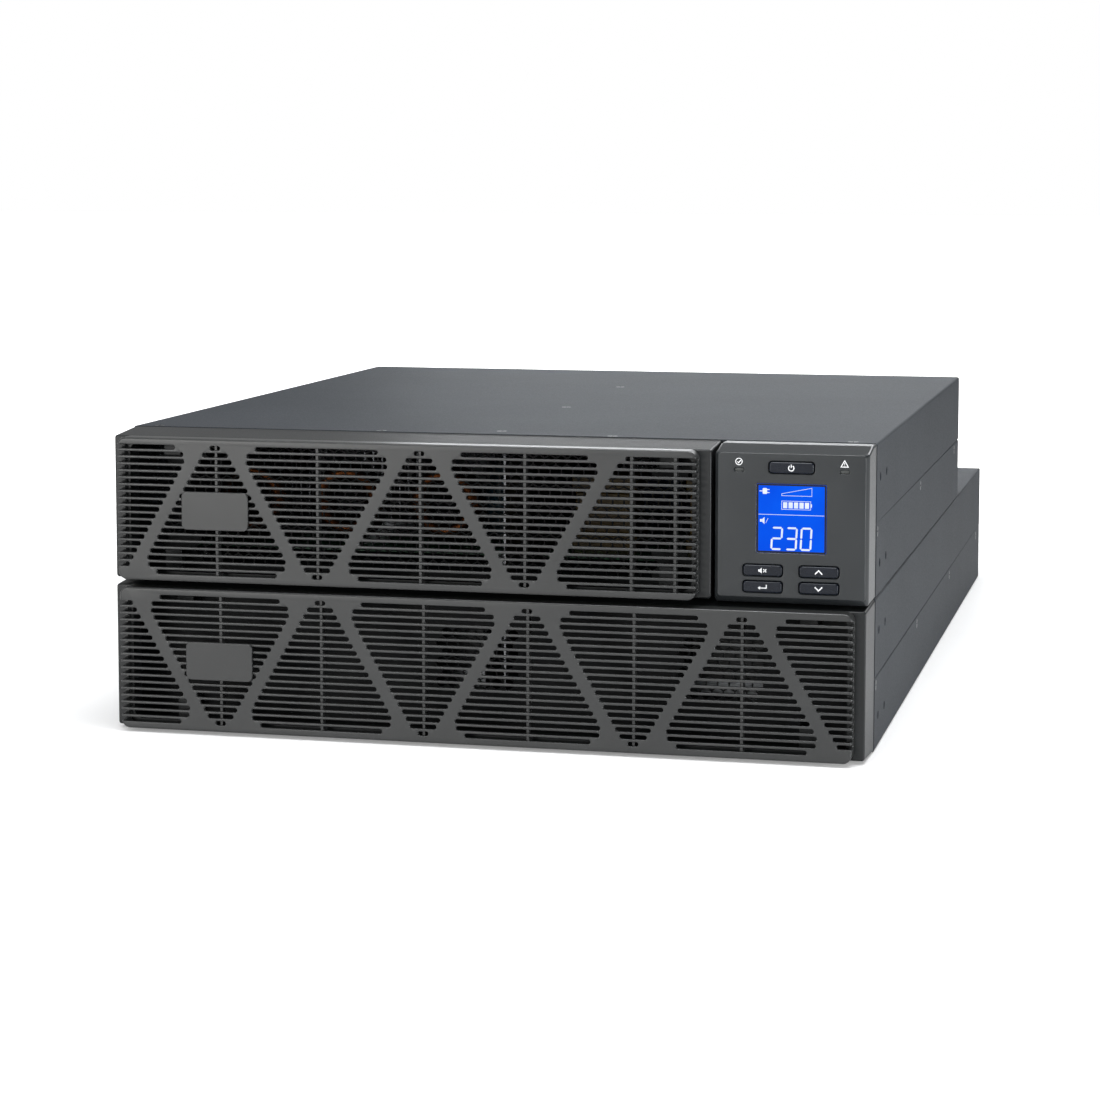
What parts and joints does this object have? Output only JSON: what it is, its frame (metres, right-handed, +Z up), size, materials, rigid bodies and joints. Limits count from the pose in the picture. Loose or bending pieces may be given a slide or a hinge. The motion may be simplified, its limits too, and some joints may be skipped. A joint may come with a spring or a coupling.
{
  "type": "rackmount ups",
  "caption": "Rack-mount uninterruptible power supply with a slotted grille and a square display module, standing on its external battery pack.",
  "frame": {"origin": "middle of the assembly's box, on its bottom face", "axes": "+X to the right seen from the front, +Y to the rear, +Z up"},
  "size_m": [0.438, 0.7316, 0.1734],
  "materials": {
    "painted_steel": "fine textured powder coat",
    "black_steel": "satin",
    "zinc_steel": "zinc plated",
    "screw_steel": "black oxide",
    "bezel_plastic": "fine spark-eroded grain",
    "key_plastic": "fine matt",
    "black_plastic": "matt",
    "clear_window": "clear",
    "lcd_blue": "lit screen",
    "light_pipe": "frosted, unlit",
    "circuit_board": "solder resist",
    "copper": "enamelled copper",
    "aluminium": "extruded",
    "capacitor_sleeve": "shrink sleeve",
    "yellow_tape": "polyester tape",
    "relay_blue": "moulded",
    "port_metal": "nickel plated"
  },
  "bodies": {
    "chassis": {"pack_base_tray": "painted_steel", "pack_top_cover": "painted_steel", "pack_front_panel": "black_steel", "pack_rear_panel": "painted_steel", "pack_divider": "zinc_steel", "pack_cover_screws": "screw_steel", "battery_tray_left": "zinc_steel", "battery_tray_right": "zinc_steel", "battery_blocks_left": "black_plastic", "battery_blocks_right": "black_plastic", "battery_links": "copper", "fuse_board": "circuit_board", "pack_breaker_body": "black_plastic", "pack_connectors": "black_plastic", "ups_base_tray": "painted_steel", "ups_top_cover": "painted_steel", "ups_front_panel": "black_steel", "ups_rear_panel": "painted_steel", "ups_divider": "zinc_steel", "ups_cover_screws": "screw_steel", "display_dock": "black_plastic", "power_board": "circuit_board", "control_board": "circuit_board", "filter_board": "circuit_board", "board_standoffs": "zinc_steel", "heatsinks": "aluminium", "inductors": "copper", "bus_capacitors": "capacitor_sleeve", "transformers": "yellow_tape", "relays": "relay_blue", "fan_frames": "black_plastic", "fan_guards": "zinc_steel", "input_breaker_body": "black_plastic", "comm_ports": "port_metal", "card_rails": "zinc_steel", "terminal_block": "black_plastic", "terminal_cover": "painted_steel", "battery_socket": "black_plastic"},
    "ups_bezel": {"ups_bezel_frame": "bezel_plastic", "ups_grille": "bezel_plastic", "ups_badge_plate": "bezel_plastic"},
    "pack_bezel": {"pack_bezel_frame": "bezel_plastic", "pack_grille": "bezel_plastic", "pack_badge_plate": "bezel_plastic"},
    "display": {"display_housing": "bezel_plastic", "display_back_cover": "black_plastic", "lcd_window": "clear_window", "lcd_module": "lcd_blue", "display_board": "circuit_board", "light_pipes": "light_pipe"},
    "power_key": {"power_button": "key_plastic"},
    "mute_key": {"mute_button": "key_plastic"},
    "enter_key": {"enter_button": "key_plastic"},
    "up_key": {"up_button": "key_plastic"},
    "down_key": {"down_button": "key_plastic"},
    "left_fan": {"fan_rotor_left": "black_plastic"},
    "right_fan": {"fan_rotor_right": "black_plastic"},
    "input_toggle": {"input_breaker_toggle": "black_plastic"},
    "pack_toggle": {"pack_breaker_toggle": "black_plastic"},
    "card": {"option_card": "painted_steel"}
  },
  "joints": [
    {"name": "ups_bezel_pull", "type": "slide", "parent": "chassis", "child": "ups_bezel", "axis": [0, -1, 0], "range_m": [0, 0.06]},
    {"name": "pack_bezel_pull", "type": "slide", "parent": "chassis", "child": "pack_bezel", "axis": [0, -1, 0], "range_m": [0, 0.06]},
    {"name": "display_pull", "type": "slide", "parent": "chassis", "child": "display", "axis": [0, -1, 0], "range_m": [0, 0.03]},
    {"name": "power_press", "type": "slide", "parent": "display", "child": "power_key", "axis": [0, 1, 0], "range_m": [0, 0.0008], "stiffness_N_per_m": 1500},
    {"name": "mute_press", "type": "slide", "parent": "display", "child": "mute_key", "axis": [0, 1, 0], "range_m": [0, 0.0008], "stiffness_N_per_m": 1500},
    {"name": "enter_press", "type": "slide", "parent": "display", "child": "enter_key", "axis": [0, 1, 0], "range_m": [0, 0.0008], "stiffness_N_per_m": 1500},
    {"name": "up_press", "type": "slide", "parent": "display", "child": "up_key", "axis": [0, 1, 0], "range_m": [0, 0.0008], "stiffness_N_per_m": 1500},
    {"name": "down_press", "type": "slide", "parent": "display", "child": "down_key", "axis": [0, 1, 0], "range_m": [0, 0.0008], "stiffness_N_per_m": 1500},
    {"name": "left_fan_spin", "type": "hinge", "parent": "chassis", "child": "left_fan", "pos_m": [-0.165, 0.1488, 0.13005], "axis": [0, 1, 0], "continuous": true},
    {"name": "right_fan_spin", "type": "hinge", "parent": "chassis", "child": "right_fan", "pos_m": [-0.081, 0.1488, 0.13005], "axis": [0, 1, 0], "continuous": true},
    {"name": "input_toggle_flip", "type": "hinge", "parent": "chassis", "child": "input_toggle", "pos_m": [0.061, 0.1598, 0.1327], "axis": [1, 0, 0], "range_deg": [-50, 0]},
    {"name": "pack_toggle_flip", "type": "hinge", "parent": "chassis", "child": "pack_toggle", "pos_m": [0.07, 0.3498, 0.046], "axis": [1, 0, 0], "range_deg": [-50, 0]},
    {"name": "card_slide", "type": "slide", "parent": "chassis", "child": "card", "axis": [0, 1, 0], "range_m": [0, 0.1]}
  ]
}
